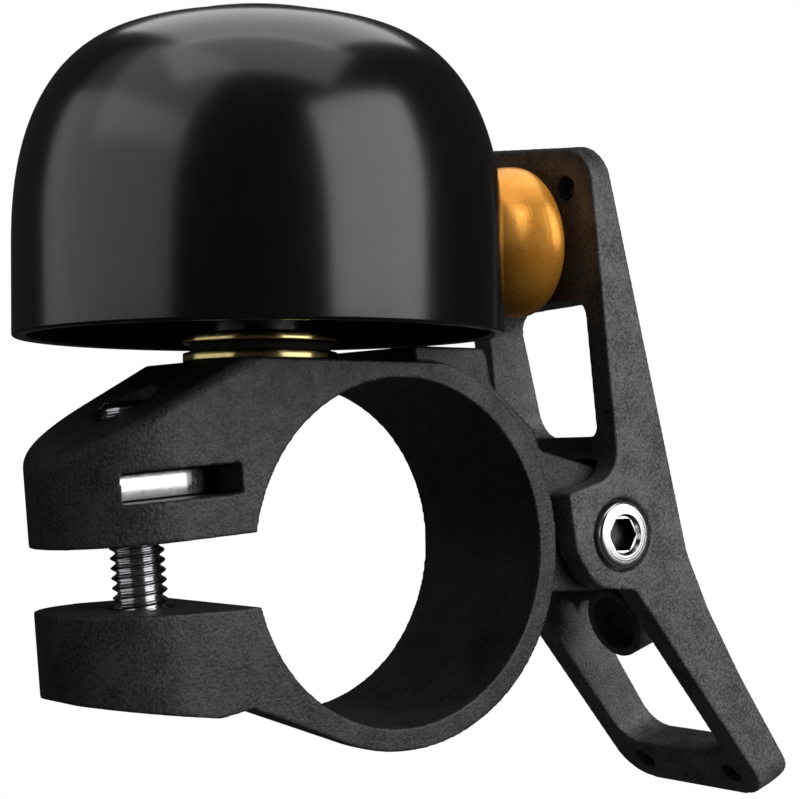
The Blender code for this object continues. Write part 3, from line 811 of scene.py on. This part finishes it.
def make_pivot():
    pivot = (PIVOT_X, 0, PIVOT_Z)
    low = -LEVER_HALF + PIVOT_DEPTH - GAP
    head = rounded([(0, low - 1.5), (2.62, low - 1.5, 0.35), (2.62, low, 0.1), (1.48, low)], 6)
    screw = aim(turned('pivot_screw_m3', head + [(1.48, 8.5), (1.2, 8.8), (0, 8.8)]), pivot, (0, 1, 0))
    cone = [(0, low - 1.9), (1.85, low - 1.9), (1.45, low - 1.15), (0, low - 1.15)]
    cut(screw, aim(turned('countersink', cone), pivot, (0, 1, 0)))
    cut(screw, aim(hexagon('socket', 2.5, low - 3.0, low - 0.1), pivot, (0, 1, 0)))
    screw.data.set_sharp_from_angle(angle=math.radians(30))
    place(screw, 'pivot_screw', 'lever', 'steel')
    # Painted shade: the walls and the floor of the socket are darker, as the shade in the recess
    screw.data.materials.append(dark_steel('socket_shade'))
    for face in screw.data.polygons:
        spot = face.center / MM
        if math.hypot(spot.x, spot.y) < 1.46 and low - 1.14 < spot.z < low:
            face.material_index = 1

    low = LEVER_HALF - PIVOT_NUT_DEPTH + GAP
    nut = aim(hexagon('pivot_nut_m3', 5.5, low, low + 1.8), pivot, (0, 1, 0))
    cone = [(0, low - 0.01), (4.0, low - 0.01), (4.0, low + 1.35), (2.75, low + 1.81), (0, low + 1.81)]
    keep_inside(nut, aim(turned('cone', cone), pivot, (0, 1, 0)))
    cut(nut, aim(rod('nut_hole', 1.53, 5, 12), pivot, (0, 1, 0)))
    nut.data.set_sharp_from_angle(angle=math.radians(30))
    place(nut, 'pivot_nut', 'lever', 'steel')

    sleeve = turned('pivot_sleeve_tube', washer_profile(1.53, 2.22, -6.08, 6.08, 0.1))
    place(aim(sleeve, pivot, (0, 1, 0)), 'pivot_sleeve', 'bracket', 'gold_zinc')


def make_spring():
    """Torsion spring: a leg in the lug's slot, over three turns round the pivot, a leg to the lever."""
    coil, half, turns = 3.0, 1.5, 3
    pivot = Vector((PIVOT_X, PIVOT_Z))
    end = Vector((24.6, -3.3))
    reach = end - pivot
    leave = math.atan2(reach.y, reach.x) - math.acos(coil / reach.length)
    first = -math.pi / 2
    sweep = 2 * math.pi * turns + (leave - first) % (2 * math.pi)
    steps = 48 * turns + 44
    path = [(17.3, -half, PIVOT_Z - coil)]
    for k in range(steps + 1):
        a = first + sweep * k / steps
        y = -half + 2 * half * k / steps
        path.append((pivot.x + coil * math.cos(a), y, pivot.y + coil * math.sin(a)))
    path.append((end.x, half, end.y))
    curve = bpy.data.curves.new('spring_wire', 'CURVE')
    curve.dimensions = '3D'
    curve.bevel_depth = 0.35 * MM
    curve.bevel_resolution = 5
    curve.use_fill_caps = True
    spline = curve.splines.new('POLY')
    spline.points.add(len(path) - 1)
    for point, spot in zip(spline.points, path):
        point.co = (*(Vector(spot) * MM), 1.0)
    spring = bpy.data.objects.new('spring_wire', curve)
    bpy.context.scene.collection.objects.link(spring)
    place(spring, 'return_spring', 'lever', 'dark_steel')


# ---------------------------------------------------------------- camera, light and floor

# The camera's angles are in radians, and its place is in mm like everything above
VIEW_AZ = 0.6259
VIEW_EL = -0.0333
VIEW_ROLL = 0.0099
CAMERA_AT = (Vector((-82.47, -120.97, 6.45)) + ORIGIN_SHIFT) * MM
FOCAL = 1926.1 / 800 * 36.0
TARGET = (Vector((2.0, 0.0, 8.0)) + ORIGIN_SHIFT) * MM
FLOOR_Z = -48.0
FLOOR_R = 900.0
WHITE = (1, 1, 1, 1)


def view_axes():
    """The camera's right, up and backward directions."""
    forward = Vector((math.sin(VIEW_AZ) * math.cos(VIEW_EL), math.cos(VIEW_AZ) * math.cos(VIEW_EL),
                      -math.sin(VIEW_EL)))
    right = Vector((math.cos(VIEW_AZ), -math.sin(VIEW_AZ), 0.0))
    down = forward.cross(right)
    right_rolled = right * math.cos(VIEW_ROLL) + down * math.sin(VIEW_ROLL)
    down_rolled = down * math.cos(VIEW_ROLL) - right * math.sin(VIEW_ROLL)
    return right_rolled, -down_rolled, -forward


def make_camera():
    data = bpy.data.cameras.new('camera')
    data.sensor_width = 36.0
    data.lens = FOCAL
    data.clip_start = 0.01
    data.clip_end = 20.0
    camera = bpy.data.objects.new('camera', data)
    bpy.context.scene.collection.objects.link(camera)
    rotation = Matrix(view_axes()).transposed().to_4x4()
    camera.matrix_world = Matrix.Translation(CAMERA_AT) @ rotation
    bpy.context.scene.camera = camera


def softbox(name, right_deg, up_deg, distance, width, height, radiance, receivers=None):
    """Area light placed by its angle from the camera's side, as seen from the bell."""
    right, up, back = view_axes()
    a, e = math.radians(right_deg), math.radians(up_deg)
    level_back = Vector((back.x, back.y, 0)).normalized()
    level_right = Vector((right.x, right.y, 0)).normalized()
    direction = (level_back * math.cos(a) + level_right * math.sin(a)) * math.cos(e)
    direction += Vector((0, 0, 1)) * math.sin(e)
    data = bpy.data.lights.new(name, 'AREA')
    data.shape = 'RECTANGLE'
    data.size = width
    data.size_y = height
    data.energy = radiance * math.pi * width * height
    light = bpy.data.objects.new(name, data)
    bpy.context.scene.collection.objects.link(light)
    light.location = TARGET + direction * distance
    light.rotation_euler = direction.to_track_quat('Z', 'Y').to_euler()
    light.visible_camera = False
    light.light_linking.receiver_collection = receivers


def camera_only(nodes, links, seen, unseen):
    """Mix of two shaders: one for the camera, one for every other ray."""
    path = nodes.new('ShaderNodeLightPath')
    mix = nodes.new('ShaderNodeMixShader')
    links.new(path.outputs['Is Camera Ray'], mix.inputs[0])
    links.new(unseen, mix.inputs[1])
    links.new(seen, mix.inputs[2])
    return mix.outputs[0]


def make_world():
    world = bpy.data.worlds.new('studio')
    world.use_nodes = True
    nodes, links = world.node_tree.nodes, world.node_tree.links
    seen = nodes['Background']
    seen.inputs['Color'].default_value = WHITE
    seen.inputs['Strength'].default_value = 1.0
    unseen = nodes.new('ShaderNodeBackground')
    unseen.inputs['Color'].default_value = WHITE
    unseen.inputs['Strength'].default_value = 0.02
    out = camera_only(nodes, links, seen.outputs[0], unseen.outputs[0])
    links.new(out, nodes['World Output'].inputs['Surface'])
    bpy.context.scene.world = world


def make_floor():
    """Wide disc that the camera sees as plain white, and that reflects a little light upwards."""
    floor = flat_slab('floor', arc((0, 0), FLOOR_R, 0, 356, 89), FLOOR_Z - 1.0, FLOOR_Z)
    material = bpy.data.materials.new('floor')
    material.use_nodes = True
    nodes, links = material.node_tree.nodes, material.node_tree.links
    seen = nodes.new('ShaderNodeEmission')
    seen.inputs['Color'].default_value = WHITE
    shade = nodes['Principled BSDF']
    shade.inputs['Base Color'].default_value = (0.12, 0.12, 0.12, 1)
    shade.inputs['Roughness'].default_value = 0.9
    out = camera_only(nodes, links, seen.outputs[0], shade.outputs[0])
    links.new(out, nodes['Material Output'].inputs['Surface'])
    floor.data.materials.append(material)


def shiny_pieces():
    """Collection of every mesh but the two nylon mouldings: the large dim boxes light only these."""
    shiny = bpy.data.collections.new('shiny')
    for obj in bpy.context.scene.objects:
        if obj.type == 'MESH' and 'moulding' not in obj.name and obj.name != 'floor':
            shiny.objects.link(obj)
    return shiny


def make_lights():
    # Degrees to the camera's right, degrees up, distance, width and height in metres, radiance
    shiny = shiny_pieces()
    brass_only = bpy.data.collections.new('brass_only')
    brass_only.objects.link(bpy.data.objects['striker_brass'])
    softbox('brass_box', -35.0, 22.0, 0.9, 1.0, 0.9, 3.6, brass_only)
    softbox('right_box', 59.5, 16.0, 0.9, 0.82, 0.98, 2.1)
    softbox('left_box', -72.0, 12.0, 0.9, 1.35, 1.0, 0.55, shiny)
    softbox('left_high_box', -58.0, 48.0, 0.9, 0.75, 0.7, 0.5, shiny)
    softbox('left_fill', -70.0, 25.0, 0.9, 1.17, 1.35, 0.13)
    softbox('rear_top_box', 180.0, 68.0, 0.8, 0.72, 0.75, 1.4, shiny)
    softbox('front_top_box', 0.0, 75.0, 0.8, 0.9, 0.46, 0.9, shiny)
    bpy.context.scene.view_settings.view_transform = 'Standard'


def main():
    make_bracket()
    make_clamp_fasteners()
    make_dome()
    make_dome_screw()
    make_stack()
    make_lever()
    make_striker()
    make_striker_screw()
    make_pivot()
    make_spring()
    make_camera()
    make_world()
    make_floor()
    make_lights()


main()
bpy.context.view_layer.update()
